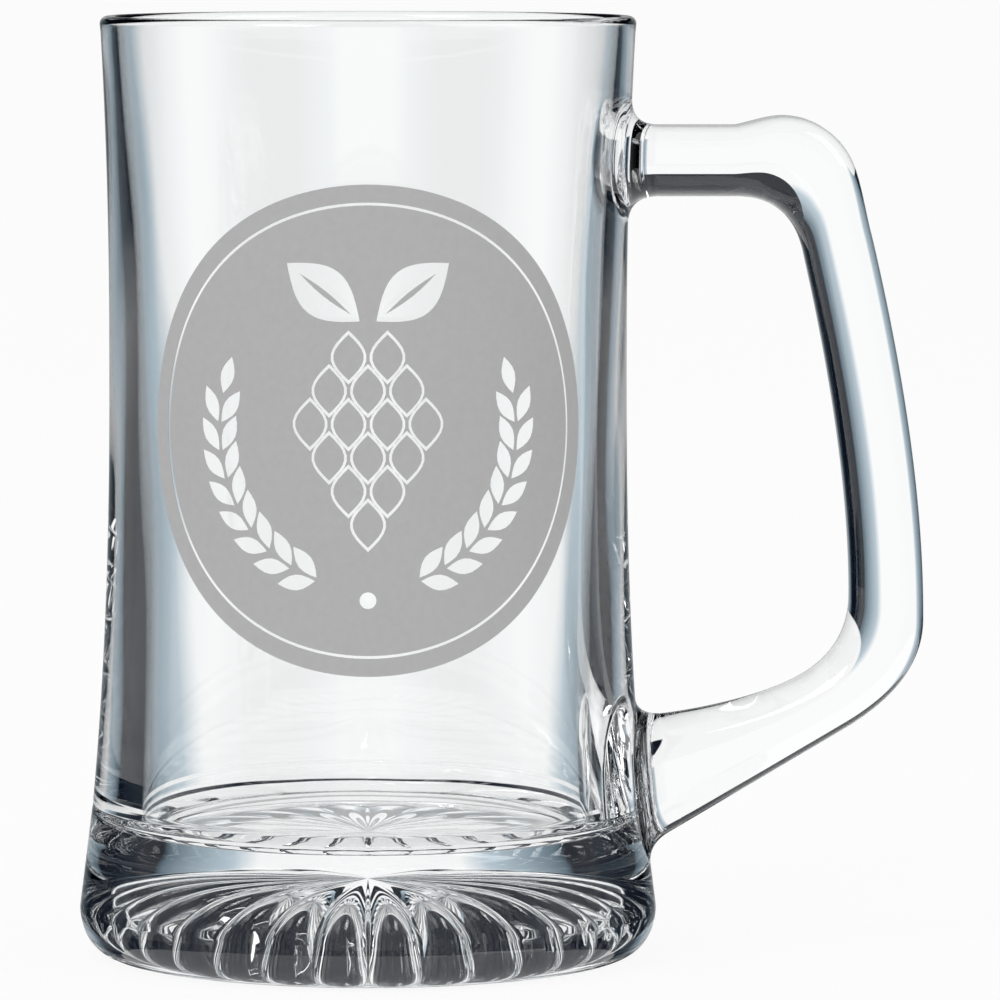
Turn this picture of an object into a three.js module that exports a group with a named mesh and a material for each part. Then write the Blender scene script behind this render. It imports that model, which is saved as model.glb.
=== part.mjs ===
// A clear glass beer mug: a thick-walled bowl set in a heavy sunburst base, with a squared loop handle
// that is fused to the wall through an upper and a lower pad.
// Millimetres, +Z up. The mug stands on the plane z = 0 and its handle points along +X.

import * as THREE from "three";

// Driving dimensions of the bowl
const mugHeight = 140;
const waistRadius = 38.55;
const rimFlare = 1.3; // how much wider the rim is than the waist
const rimFlareLength = 46; // height over which the rim opens
const lowerFlare = 2.65; // how much wider the shoulder is than the waist
const waistHeight = 90; // height where the lower flare begins
const lowerFlarePower = 2.4; // how late the wall widens towards the shoulder
const rimWall = 2.4;
const lowerWall = 7.5;
const wallTaperPower = 1.3; // how late the wall thickens downwards
const floorThickness = 3.6;
const floorFillet = 3;

// Driving dimensions of the base
const shoulderHeight = 22.5;
const baseFlare = 1.95; // how much wider the base is than the shoulder
const cornerHeight = 7;
const cornerWidth = 5.2;
const seatLedge = 2.5; // flat ring at the top of the base, outside the dished seat
const seatRound = 9; // how far the rounded heel of the bowl reaches inwards
const baseWeb = 3.8; // glass between the seat and the deepest point of the sunburst
const sunburstDepth = 11;
const sunburstRadius = 34.5; // to the petals' outer ends
const sunburstPower = 4; // how late the dome of the sunburst falls towards its edge
const grooveDepth = 2; // of the sharp lines between the petals
const scallopDepth = 1.5; // how far the petals' rounded ends stand out
const petalCount = 24;

// Driving dimensions of the handle
const armDrop = 16.2; // from the rim down to the top of the upper arm
const armThickness = 10.6;
const handleOverhang = 44.3; // from the waist to the outermost point of the grip
const gripWidth = 11; // across the grip, in the plane of the loop
const gripDepth = 15; // along Y
const gripLean = 7; // how far the top of the grip leans towards the bowl
const gripTopNarrowing = 0.9; // how much slimmer the grip is at its top
const gripTopTilt = 2.6; // how much higher the grip's top is outside the loop than inside
const gripStraightening = 20.5; // height over which the lower end of the grip turns upright
const gripBottomHeight = 53.6;
const outsideStraight = 3.4; // how much longer the outside of the grip stays upright
const elbowRun = 17.2; // length of the upper elbow along the arm
const elbowDrop = 8.7; // height of the upper elbow inside the loop
const elbowHump = 1.4; // how far the upper elbow rises above the arm
const humpPlace = 0.42; // share of the elbow's run where the hump is highest
const humpEnd = 0.72; // share of the elbow's run where the hump is back at the arm's height
const insideElbowRun = 9.6;
const insideElbowDrop = 13.3;
const insideElbowPull = 0.8; // how tightly the lower elbow turns inside the loop
const outsideElbowRun = 11.8;
const outsideElbowDrop = 16.4;
const lowerRootTop = 35.1;
const lowerRootBottom = 16.4;
const lowerArmLevel = 0.15; // share of the inside rise that is left where the lower arm meets its pad
const lowerArmSag = 0.45; // share of the inside rise at the middle of the lower arm
const lowerArmBow = 2; // how far that middle is moved outwards
const insidePower = 2.2; // section on the fingers' side: 2 is an ellipse, higher is squarer
const outsidePower = 4; // section on the outer side
const upperPadFlare = 4.2; // radius of the fillet round the upper pad
const lowerPadFlare = 3.2;
const fusedGap = 0.3; // clearance between neighbouring pieces of glass

// Mesh fineness
const bowlSegments = 64;
const petalSegments = 4;
const sectionPoints = 20;
const arcSteps = 5;
const wallSteps = 10;
const domeSteps = 7;
const padSteps = 5;
const padBackRings = 4;
const armSteps = 3;
const elbowSteps = 8;
const gripSteps = 8;

// Heights and radii that follow from the driving dimensions
const seatHeight = sunburstDepth + baseWeb;
const floorHeight = seatHeight + floorThickness;
const shoulderRadius = waistRadius + lowerFlare;
const baseRadius = shoulderRadius + baseFlare;
const footRadius = baseRadius - cornerWidth;
const heelRadius = shoulderRadius - seatLedge;
const seatRadius = heelRadius - seatRound;

function bowlRadius(z) {
  const below = Math.max(0, (waistHeight - z) / (waistHeight - shoulderHeight));
  const above = Math.max(0, (z - mugHeight + rimFlareLength) / rimFlareLength);
  return waistRadius + lowerFlare * below ** lowerFlarePower + rimFlare * above ** 2;
}

function wallThickness(z) {
  const depth = Math.min(1, Math.max(0, (mugHeight - z) / (mugHeight - floorHeight)));
  return rimWall + (lowerWall - rimWall) * depth ** wallTaperPower;
}

function innerRadius(z) {
  return bowlRadius(z) - wallThickness(z);
}

function outerRadius(z) {
  if (z >= shoulderHeight) return bowlRadius(z);
  if (z >= cornerHeight) {
    return shoulderRadius + (baseFlare * (shoulderHeight - z)) / (shoulderHeight - cornerHeight);
  }
  const down = Math.min(1, (cornerHeight - z) / cornerHeight);
  return footRadius + cornerWidth * Math.sqrt(1 - down ** 2);
}

// Points of a quarter or half ellipse, from one angle to another in turns of pi
function arc(centreR, centreZ, radiusR, radiusZ, from, to, steps) {
  return Array.from({ length: steps + 1 }, (_, i) => {
    const angle = Math.PI * (from + ((to - from) * i) / steps);
    return new THREE.Vector2(centreR + radiusR * Math.cos(angle), centreZ + radiusZ * Math.sin(angle));
  });
}

// Points along a radius that is given as a function of height
function along(radius, fromZ, toZ, steps) {
  return Array.from({ length: steps + 1 }, (_, i) => {
    const z = fromZ + ((toZ - fromZ) * i) / steps;
    return new THREE.Vector2(radius(z), z);
  });
}

// A profile turned about the upright axis
function turned(profile, segments) {
  return new THREE.LatheGeometry(profile, segments).rotateX(Math.PI / 2);
}

// The bowl: rounded heel, flared outer wall, fire-polished rim, tapering inner wall and flat floor
function bowlGeometry() {
  const rimRound = rimWall / 2;
  const rimBase = mugHeight - rimRound;
  const rimMiddle = bowlRadius(mugHeight) - rimRound;
  const filletTop = floorHeight + floorFillet;
  const filletMiddle = innerRadius(filletTop) - floorFillet;
  const heelBottom = seatHeight + fusedGap;
  const ledgeTop = shoulderHeight + fusedGap;
  return turned(
    [
      new THREE.Vector2(0, heelBottom),
      ...arc(seatRadius, ledgeTop, seatRound, ledgeTop - heelBottom, -0.5, 0, arcSteps),
      ...along(outerRadius, ledgeTop, rimBase - rimRound, wallSteps),
      ...arc(rimMiddle, rimBase, rimRound, rimRound, 0, 1, arcSteps + 1),
      ...along(innerRadius, rimBase - rimRound, filletTop, wallSteps),
      ...arc(filletMiddle, filletTop, floorFillet, floorFillet, 0, -0.5, arcSteps).slice(1),
      new THREE.Vector2(0, floorHeight),
    ],
    bowlSegments,
  );
}

// A point of the sunburst, a flat dome of vaulted petals with sharp lines between them
function sunburstPoint(share, angle) {
  const petalTurn = (angle * petalCount) / (2 * Math.PI) + 0.5;
  const offMiddle = (2 * (petalTurn - Math.round(petalTurn))) ** 2;
  const radius = share * (sunburstRadius - scallopDepth * offMiddle);
  const height = (sunburstDepth - grooveDepth * share * offMiddle) * (1 - share ** sunburstPower);
  return new THREE.Vector3(radius * Math.cos(angle), radius * Math.sin(angle), height);
}

// The base: sunburst below, rounded foot corner, coned side and dished seat on top
function baseGeometry() {
  const shares = Array.from({ length: domeSteps + 1 }, (_, i) => i / domeSteps);
  const sunburst = shares.map((share) => new THREE.Vector2(share * sunburstRadius, 0));
  const geometry = turned(
    [
      ...sunburst,
      ...arc(footRadius, cornerHeight, cornerWidth, cornerHeight, -0.5, 0, arcSteps),
      new THREE.Vector2(shoulderRadius, shoulderHeight),
      ...arc(seatRadius, shoulderHeight, seatRound, shoulderHeight - seatHeight, 0, -0.5, arcSteps),
      new THREE.Vector2(0, seatHeight),
    ],
    petalCount * petalSegments,
  );
  const position = geometry.attributes.position;
  const profilePoints = sunburst.length + 2 * (arcSteps + 1) + 2;
  for (let i = 0; i < position.count; i += 1) {
    const ring = i % profilePoints;
    if (ring >= sunburst.length) continue;
    const point = sunburstPoint(shares[ring], Math.atan2(position.getY(i), position.getX(i)));
    position.setXYZ(i, point.x, point.y, point.z);
  }
  return geometry;
}

// The handle lies in the plane y = 0 and is drawn by two edges, inside and outside the loop.
// Each edge has five stretches: upper arm, upper elbow, grip, lower elbow, lower arm.
function at(x, z) {
  return new THREE.Vector3(x, 0, z);
}

function line(from, to) {
  return new THREE.LineCurve3(from, to);
}

function bend(from, corner, to) {
  return new THREE.QuadraticBezierCurve3(from, corner, to);
}

const armTop = mugHeight - armDrop;
const armUnder = armTop - armThickness;
const upperFace = outerRadius(armTop) + upperPadFlare;
const lowerFace = outerRadius(lowerRootBottom) + lowerPadFlare;
const outsideReach = waistRadius + handleOverhang;
const insideReach = outsideReach - gripWidth;
const gripBow = gripBottomHeight + gripStraightening;

const insideGripTop = at(insideReach - gripLean, armUnder - elbowDrop);
const insideGripBottom = at(insideReach, gripBottomHeight);
const insideElbowEnd = at(insideReach - insideElbowRun, gripBottomHeight - insideElbowDrop);
const insideRise = insideElbowEnd.z - lowerRootTop;
const insideLowerEnd = at(lowerFace, lowerRootTop + insideRise * lowerArmLevel);
const insideArmMiddle = (insideElbowEnd.x + insideLowerEnd.x) / 2 + lowerArmBow;
const armEnd = insideReach - elbowRun;
const insideEdge = [
  line(at(upperFace, armUnder), at(armEnd, armUnder)),
  bend(at(armEnd, armUnder), at(insideGripTop.x - gripLean / 4, armUnder), insideGripTop),
  bend(insideGripTop, at(insideReach, gripBow), insideGripBottom),
  bend(insideGripBottom, at(insideReach, insideElbowEnd.z + insideRise * insideElbowPull), insideElbowEnd),
  bend(insideElbowEnd, at(insideArmMiddle, lowerRootTop + insideRise * lowerArmSag), insideLowerEnd),
];

const outsideGripTop = at(insideGripTop.x + gripWidth - gripTopNarrowing, insideGripTop.z + gripTopTilt);
const outsideGripBottom = at(outsideReach, gripBottomHeight - outsideStraight);
const outsideElbowEnd = at(outsideReach - outsideElbowRun, outsideGripBottom.z - outsideElbowDrop);
const outsideRun = outsideElbowEnd.x - outerRadius(lowerRootBottom);
const outsideSlope = (outsideElbowEnd.z - lowerRootBottom) / outsideRun;
const outsideLowerEnd = at(lowerFace, lowerRootBottom + lowerPadFlare * outsideSlope);
const outsideEdge = [
  line(at(upperFace, armTop), at(armEnd, armTop)),
  new THREE.CatmullRomCurve3([
    at(armEnd, armTop),
    at(armEnd + elbowRun * humpPlace, armTop + elbowHump),
    at(armEnd + elbowRun * humpEnd, armTop),
    at(outsideGripTop.x - gripLean / 2, armTop - elbowDrop / 2),
    outsideGripTop,
  ]),
  bend(outsideGripTop, at(outsideReach, gripBow), outsideGripBottom),
  bend(
    outsideGripBottom,
    at(outsideReach, outsideElbowEnd.z + outsideElbowRun * outsideSlope),
    outsideElbowEnd,
  ),
  line(outsideElbowEnd, outsideLowerEnd),
];

function signedPower(value, power) {
  return Math.sign(value) * Math.abs(value) ** power;
}

// Unit outline of the handle's section: across the loop, outwards, and along Y.
// It is rounder on the fingers' side than outside.
const sectionOutline = Array.from({ length: sectionPoints }, (_, i) => {
  const angle = (2 * Math.PI * i) / sectionPoints;
  const power = Math.cos(angle) > 0 ? outsidePower : insidePower;
  const across = signedPower(Math.cos(angle), 2 / power);
  return { across, sideways: signedPower(Math.sin(angle), 2 / power), power };
});

// One ring of the handle, spanned between a point of the inside edge and one of the outside edge
function ringBetween(inside, outside) {
  const middle = inside.clone().add(outside).divideScalar(2);
  const half = outside.clone().sub(inside).divideScalar(2);
  return sectionOutline.map(({ across, sideways }) => {
    const point = middle.clone().addScaledVector(half, across);
    point.y = (sideways * gripDepth) / 2;
    return point;
  });
}

// A closed skin over rings of equal counts, with a fan to a middle point at each end
function loft(rings, startMiddle, endMiddle) {
  const count = rings[0].length;
  const points = rings.flat();
  const triangles = [];
  const quadRow = (row, i, next) => {
    const a = row * count + i;
    const b = row * count + next;
    triangles.push(a, a + count, b, b, a + count, b + count);
  };
  const start = points.push(startMiddle) - 1;
  const end = points.push(endMiddle) - 1;
  const last = (rings.length - 1) * count;
  for (let i = 0; i < count; i += 1) {
    const next = (i + 1) % count;
    for (let row = 0; row + 1 < rings.length; row += 1) quadRow(row, i, next);
    triangles.push(start, i, next);
    triangles.push(end, last + next, last + i);
  }
  return new THREE.BufferGeometry().setFromPoints(points).setIndex(triangles);
}

function middleOf(ring) {
  const sum = ring.reduce((total, point) => total.add(point), new THREE.Vector3());
  return sum.divideScalar(ring.length);
}

function handleGeometry() {
  const steps = [armSteps, elbowSteps, gripSteps, elbowSteps, armSteps];
  const rings = steps.flatMap((count, stretch) => {
    const first = stretch === 0 ? 0 : 1;
    return Array.from({ length: count + 1 - first }, (_, i) => {
      const share = (i + first) / count;
      return ringBetween(insideEdge[stretch].getPoint(share), outsideEdge[stretch].getPoint(share));
    });
  });
  return loft(rings, middleOf(rings[0]), middleOf(rings[rings.length - 1]));
}

// The point of the outer wall, with the clearance, that lies at a given y and z on the handle's side
function onWall(y, z) {
  return new THREE.Vector3(Math.sqrt((outerRadius(z) + fusedGap) ** 2 - y ** 2), y, z);
}

// A pad: a fillet from the wall to the face of an arm, with a back that follows the wall.
// Where the outside of the loop is below, the rings are turned round so that the pad still faces out.
function padGeometry(faceX, faceInside, faceOutside, rootInside, rootOutside, flare) {
  const neckX = faceX - fusedGap;
  const face = ringBetween(at(neckX, faceInside), at(neckX, faceOutside));
  const rootMiddle = (rootInside + rootOutside) / 2;
  const rootHalf = (rootOutside - rootInside) / 2;
  const root = ringBetween(at(0, rootInside), at(0, rootOutside)).map(({ y, z }) => onWall(y, z));
  const foot = sectionOutline.map(({ across, sideways, power }, i) => {
    const slopeZ = signedPower(across, power - 1) / rootHalf;
    const slopeY = signedPower(sideways, power - 1) / (gripDepth / 2);
    const outwards = flare / Math.hypot(slopeY, slopeZ);
    return onWall(root[i].y + slopeY * outwards, root[i].z + slopeZ * outwards);
  });
  const backRing = (share) =>
    foot.map(({ y, z }) => onWall(y * share, rootMiddle + (z - rootMiddle) * share));
  const back = Array.from({ length: padBackRings }, (_, i) => backRing((i + 1) / padBackRings));
  const fillet = Array.from({ length: padSteps }, (_, step) =>
    foot.map((point, i) => bend(point, root[i], face[i]).getPoint((step + 1) / padSteps)),
  );
  const rings = [...back, ...fillet];
  if (rootHalf < 0) rings.forEach((ring) => ring.reverse());
  return loft(rings, onWall(0, rootMiddle), middleOf(face));
}

function upperPadGeometry() {
  return padGeometry(upperFace, armUnder, armTop, armUnder, armTop, upperPadFlare);
}

function lowerPadGeometry() {
  return padGeometry(
    lowerFace,
    insideLowerEnd.z,
    outsideLowerEnd.z,
    lowerRootTop,
    lowerRootBottom,
    lowerPadFlare,
  );
}

// The whole mug, one named mesh for each piece of glass
function glass(color, roughness) {
  return new THREE.MeshStandardMaterial({
    color,
    roughness,
    metalness: 0,
    transparent: true,
    opacity: 0.35,
  });
}

const wallGlass = glass(0xf4f8f8, 0.02);
const baseGlass = glass(0xe9f0f1, 0.02);
const handleGlass = glass(0xf6f8f8, 0.03);

const mug = new THREE.Group();

function add(name, geometry, material) {
  const mesh = new THREE.Mesh(geometry, material);
  mesh.name = name;
  mug.add(mesh);
}

add("bowl", bowlGeometry(), wallGlass);
add("sunburst_base", baseGeometry(), baseGlass);
add("upper_handle_pad", upperPadGeometry(), handleGlass);
add("lower_handle_pad", lowerPadGeometry(), handleGlass);
add("handle", handleGeometry(), handleGlass);

// The origin is on the table, under the middle of the whole outline
const outline = new THREE.Box3().setFromObject(mug);
mug.position.x = -(outline.min.x + outline.max.x) / 2;

export default mug;
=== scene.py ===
"""A clear glass beer mug, built piece by piece on the frame of its solid model."""

import math

import bmesh
import bpy
from bpy.props import FloatProperty, FloatVectorProperty, IntProperty, PointerProperty
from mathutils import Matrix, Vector
from mathutils.geometry import delaunay_2d_cdt


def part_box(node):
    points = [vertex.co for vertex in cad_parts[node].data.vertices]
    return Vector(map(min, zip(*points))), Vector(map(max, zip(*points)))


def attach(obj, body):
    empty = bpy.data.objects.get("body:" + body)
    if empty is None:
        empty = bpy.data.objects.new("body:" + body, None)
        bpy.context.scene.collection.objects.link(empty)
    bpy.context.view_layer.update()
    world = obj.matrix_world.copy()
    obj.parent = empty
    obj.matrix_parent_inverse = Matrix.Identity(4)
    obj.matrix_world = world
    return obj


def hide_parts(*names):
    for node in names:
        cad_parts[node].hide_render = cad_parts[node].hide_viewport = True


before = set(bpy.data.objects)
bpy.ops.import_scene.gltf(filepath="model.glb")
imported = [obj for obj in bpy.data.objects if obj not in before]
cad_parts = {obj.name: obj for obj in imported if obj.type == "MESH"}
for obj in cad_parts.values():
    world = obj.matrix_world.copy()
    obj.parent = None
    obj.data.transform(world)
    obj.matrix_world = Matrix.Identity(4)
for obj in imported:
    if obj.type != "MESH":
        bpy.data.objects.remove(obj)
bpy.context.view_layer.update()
BASE_LOW, BASE_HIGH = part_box("sunburst_base")
BOWL_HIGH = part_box("bowl")[1]
AXIS_X = (BASE_LOW.x + BASE_HIGH.x) / 2

bl_info = {
    "name": "Glass Beer Mug",
    "version": (1, 0, 0),
    "blender": (4, 5, 0),
    "location": "View3D > Sidebar > Beer Mug",
    "description": "Builds a heavy clear glass mug with a sunburst base and a loop handle",
    "category": "Add Mesh",
}

# Material slots of every glass piece: its own glass, and the joint where it is fused to another.
GLASS = 0
FUSED = 1

# Counts of faces round and along the pieces.
BOWL_FACES = 224
FACES_PER_PETAL = 12
SECTION_FACES = 72
HANDLE_STEPS = (10, 36, 40, 36, 16)

# Heights of the rings beside the mould line, measured from the shoulder.
SEAM_STEPS = (0.00015, 0.0003, 0.0005, 0.0008)
SEAM_END = 0.0013

# Scales in each row of the hop cone, and the vein's start and length as shares of a leaf.
HOP_ROWS = (2, 3, 4, 3, 2, 1)
VEIN_START = 0.12
VEIN_LENGTH = 0.7

# The ring of cards round the mug.
CARD_RADIUS = 0.9
CARD_LOW = -0.02
CARD_HIGH = 0.28
CARD_FACES = 96
CARD_SPREAD = math.pi / 4

# Where the bands of each card end, in degrees from the nearest axis, and how bright cards are in reflections.
LIGHT_END = 13.0
WING_END = 17.0
GREY_END = 30.5
DARK_START = 32.5
REFLECTED_CARDS = 0.35

# The floor: how white it is to the camera and the glass, and where glass sees it as polished.
FLOOR_SIDE = 12.0
FLOOR_DROP = 0.0002
FLOOR_WHITENESS = 0.92
POLISH_START = 0.768
POLISH_FULL = 0.78
NEAR_EDGE = 0.1
NEAR_FULL = 0.075
NEAR_POLISH = 0.26

# Soft light, lamps and camera.
SOFT_LIGHT = 0.7
LAMP_AIM = (0.0, 0.0, 0.06)
CAMERA_PLACE = (AXIS_X, -1.1, 0.16)
CAMERA_AIM = (AXIS_X, 0.0, 0.0678)
CAMERA_LENS = 266.1
CAMERA_SHIFT = 0.132


def length(name, description, default):
    return FloatProperty(
        name=name, description=description, default=default, min=0.0, unit="LENGTH", precision=5
    )


def ratio(name, description, default):
    return FloatProperty(name=name, description=description, default=default, min=0.0)


def turn_angle(name, description, default):
    return FloatProperty(name=name, description=description, default=default, subtype="ANGLE")


def colour(name, description, default):
    return FloatVectorProperty(
        name=name, description=description, default=default, size=4, min=0.0, max=1.0, subtype="COLOR"
    )


class MugBowlSizes(bpy.types.PropertyGroup):
    """Sizes of the drinking bowl."""

    height: length("Height", "From the table to the rim", BOWL_HIGH.z)
    waist_radius: length("Waist radius", "Outer radius at the narrowest height", 0.03855)
    waist_height: length("Waist height", "Height below which the wall widens", 0.09)
    rim_flare: length("Rim flare", "How much wider the rim is than the waist", 0.0013)
    rim_flare_length: length("Rim flare length", "Height over which the rim opens", 0.046)
    lower_flare: length("Lower flare", "How much wider the shoulder is than the waist", 0.00265)
    lower_flare_power: ratio("Lower flare power", "How late the wall widens towards the shoulder", 2.4)
    rim_wall: length("Rim wall", "Thickness of the wall at the rim", 0.0024)
    lower_wall: length("Lower wall", "Thickness of the wall above the floor", 0.0075)
    wall_taper_power: ratio("Wall taper power", "How late the wall thickens downwards", 1.3)
    floor_height: length("Floor height", "Height of the inside floor", 0.0184)
    floor_fillet: length("Floor fillet", "Rounding between the floor and the wall", 0.003)
    ripple: length("Ripple", "Unevenness that pressing leaves on the inner wall", 0.00005)


class MugBaseSizes(bpy.types.PropertyGroup):
    """Sizes of the heavy base and of the sunburst under it."""

    shoulder_height: length("Shoulder height", "Height of the line where bowl and base meet", BASE_HIGH.z)
    seam_depth: length("Seam depth", "Depth of the mould line at the shoulder", 0.00006)
    seam_width: length("Seam width", "Half the height of the mould line", 0.0004)
    flare: length("Flare", "How much wider the base is than the shoulder", 0.00195)
    corner_height: length("Corner height", "Height of the rounded lower corner", 0.007)
    corner_width: length("Corner width", "Width of the rounded lower corner", 0.0052)
    seat_height: length("Seat height", "Lowest height of the dished seat under the bowl", 0.0148)
    seat_ledge: length("Seat ledge", "Width of the flat ring outside the seat", 0.0025)
    seat_round: length("Seat round", "How far the bowl's rounded heel reaches inwards", 0.009)
    sunburst_depth: length("Sunburst depth", "Height of the sunburst's middle above the table", 0.011)
    sunburst_radius: length("Sunburst radius", "Radius of the petals' outer ends", 0.0345)
    sunburst_power: ratio("Sunburst power", "How late the sunburst falls towards its rim", 4.0)
    scallop_depth: length("Scallop depth", "How far the petals' rounded ends stand out", 0.0015)
    groove_depth: length("Groove depth", "Depth of the lines between petals", 0.002)
    petals: IntProperty(name="Petals", description="Number of petals", default=24, min=6, max=60)


class MugHandleSizes(bpy.types.PropertyGroup):
    """Sizes of the loop handle and of the pads that fuse it to the wall."""

    arm_drop: length("Arm drop", "From the rim down to the top of the upper arm", 0.0162)
    arm_thickness: length("Arm thickness", "Height of the upper arm", 0.0106)
    overhang: length("Overhang", "From the waist to the outermost point of the grip", 0.0443)
    grip_width: length("Grip width", "Across the grip in the plane of the loop", 0.011)
    grip_depth: length("Grip depth", "Across the grip, square to the loop", 0.015)
    grip_lean: length("Grip lean", "How far the top of the grip leans to the bowl", 0.007)
    grip_top_narrowing: length("Grip top narrowing", "How much slimmer the grip is at its top", 0.0009)
    grip_top_tilt: length("Grip top tilt", "How much higher the grip's outside ends at its top", 0.0026)
    grip_straightening: length("Grip straightening", "Height over which the grip turns upright", 0.0205)
    grip_bottom: length("Grip bottom", "Height of the lower end of the grip", 0.0536)
    elbow_run: length("Elbow run", "Length of the upper elbow along the arm", 0.0172)
    elbow_drop: length("Elbow drop", "Height of the upper elbow inside the loop", 0.0087)
    elbow_hump: length("Elbow hump", "How far the upper elbow rises above the arm", 0.0014)
    hump_place: ratio("Hump place", "Where the hump is highest, as a share of the elbow's run", 0.42)
    hump_end: ratio("Hump end", "Where the hump ends, as a share of the elbow's run", 0.72)
    inside_elbow_run: length("Inside elbow run", "Length of the lower elbow inside the loop", 0.0096)
    inside_elbow_drop: length("Inside elbow drop", "Height of the lower elbow inside the loop", 0.0133)
    inside_elbow_pull: ratio("Inside elbow pull", "How high the lower elbow's corner lies", 0.8)
    outside_elbow_run: length("Outside elbow run", "Length of the lower elbow outside the loop", 0.0118)
    outside_elbow_drop: length("Outside elbow drop", "Height of the lower elbow outside the loop", 0.0164)
    outside_straight: length("Outside straight", "How much longer the grip's outside stays upright", 0.0034)
    root_top: length("Root top", "Height where the lower arm's upper edge meets the wall", 0.0351)
    root_bottom: length("Root bottom", "Height where the lower arm's lower edge meets the wall", 0.0164)
    arm_level: ratio("Arm level", "Rise of the lower arm within the pad, as a share of its rise", 0.15)
    arm_sag: ratio("Arm sag", "Height of the lower arm's bow, as a share of its rise", 0.45)
    arm_bow: length("Arm bow", "How far the lower arm's bow lies past its middle", 0.002)
    inside_power: ratio("Inside roundness", "2 is round, higher is squarer, on the fingers' side", 2.2)
    outside_power: ratio("Outside roundness", "2 is round, higher is squarer, on the outer side", 4.0)
    upper_pad: length("Upper pad", "Radius of the fillet round the upper pad", 0.0042)
    lower_pad: length("Lower pad", "Radius of the fillet round the lower pad", 0.0032)
    tenon: length("Tenon", "How deep each pad is fused into the wall", 0.0005)
    pocket_lip: length("Pocket lip", "How far each pad's pocket reaches out of the wall", 0.0015)


class MugMedallionSizes(bpy.types.PropertyGroup):
    """Sizes of the frosted hop and barley medallion on the front of the bowl."""

    middle_height: length("Middle height", "Height of the medallion's middle", 0.081)
    radius: length("Radius", "From the middle to the edge, along the wall", 0.0355)
    ring_gap: length("Ring gap", "From the edge to the clear ring line", 0.0026)
    line: length("Line", "Width of the clear lines", 0.0004)
    scale_length: length("Scale length", "Length of one scale of the hop cone", 0.0078)
    scale_width: length("Scale width", "Width of one scale of the hop cone", 0.0052)
    scale_drop: ratio("Scale drop", "Distance between rows, as a share of a scale's length", 0.62)
    scale_spacing: ratio("Scale spacing", "Distance in a row, as a share of a scale's width", 1.08)
    grain_length: length("Grain length", "Length of one barley grain", 0.0056)
    grain_width: length("Grain width", "Width of one barley grain", 0.0023)
    ear_radius: length("Ear radius", "Radius of the curve that each ear follows", 0.0228)
    ear_start: turn_angle("Ear start", "Where on its curve each ear starts", math.radians(-72))
    grain_step: ratio("Grain step", "Distance between pairs, as a share of a grain's length", 0.74)
    grain_lean: turn_angle("Grain lean", "How far grains turn away from the ear", 0.5)
    leaf_length: length("Leaf length", "Length of the hop leaves", 0.0135)
    leaf_width: length("Leaf width", "Width of the hop leaves", 0.0074)
    leaf_turn: turn_angle("Leaf turn", "Slope of the hop leaves", math.radians(38))
    leaf_gap: length("Leaf gap", "From the middle line to the start of each leaf", 0.0012)
    leaf_height: length("Leaf height", "From the medallion's middle to the start of the leaves", 0.0158)
    dot_radius: length("Dot radius", "Radius of the clear dot", 0.0012)
    dot_drop: length("Dot drop", "From the medallion's middle down to the clear dot", 0.0245)
    grid: length("Grid", "Spacing of the points that bend the film round the wall", 0.0016)
    clearance: length("Clearance", "Between the wall and the film", 0.00002)
    film: length("Film", "Thickness of the frosted film", 0.00004)
    pairs: IntProperty(name="Pairs", description="Pairs of grains in an ear", default=8, min=1, max=20)


class MugFinishes(bpy.types.PropertyGroup):
    """Colours of the glass and of the studio."""

    wall_tint: colour("Wall tint", "Tint of the bowl's glass", (0.985, 0.992, 0.992, 1.0))
    base_tint: colour("Base tint", "Tint of the base's glass", (0.975, 0.985, 0.988, 1.0))
    handle_tint: colour("Handle tint", "Tint of the handle's glass", (0.985, 0.99, 0.992, 1.0))
    frost_light: colour("Frost light", "Lighter tone of the frosting", (0.485, 0.485, 0.485, 1.0))
    frost_dark: colour("Frost dark", "Darker tone of the frosting", (0.43, 0.43, 0.43, 1.0))
    floor: colour("Floor", "Colour of the studio floor", (0.8, 0.8, 0.8, 1.0))
    card_light: colour("Light card", "Colour of the lit cards round the mug", (1.0, 1.0, 1.0, 1.0))
    card_grey: colour("Grey card", "Colour of the shaded sides of the cards", (0.1, 0.15, 0.19, 1.0))
    card_wing: colour("Wing card", "Colour of the pale cards at the corners", (0.5, 0.6, 0.67, 1.0))
    card_dark: colour("Dark card", "Colour of the dark flags between them", (0.004, 0.007, 0.014, 1.0))
    dark_room: colour("Dark room", "What the glass sees above the cards", (0.006, 0.009, 0.016, 1.0))


def turn_point(radius, height, angle):
    return Vector((AXIS_X + radius * math.cos(angle), radius * math.sin(angle), height))


def spread(start, end, steps):
    return [start + (end - start) * i / steps for i in range(steps + 1)]


def signed_power(value, power):
    return math.copysign(abs(value) ** power, value)


def bowl_radius(z):
    bowl = bpy.context.scene.mug_bowl
    base = bpy.context.scene.mug_base
    below = max(0.0, (bowl.waist_height - z) / (bowl.waist_height - base.shoulder_height))
    above = max(0.0, (z - bowl.height + bowl.rim_flare_length) / bowl.rim_flare_length)
    return bowl.waist_radius + bowl.lower_flare * below**bowl.lower_flare_power + bowl.rim_flare * above**2


def inner_radius(z):
    bowl = bpy.context.scene.mug_bowl
    depth = min(1.0, max(0.0, (bowl.height - z) / (bowl.height - bowl.floor_height)))
    wall = bowl.rim_wall + (bowl.lower_wall - bowl.rim_wall) * depth**bowl.wall_taper_power
    return bowl_radius(z) - wall


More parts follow.
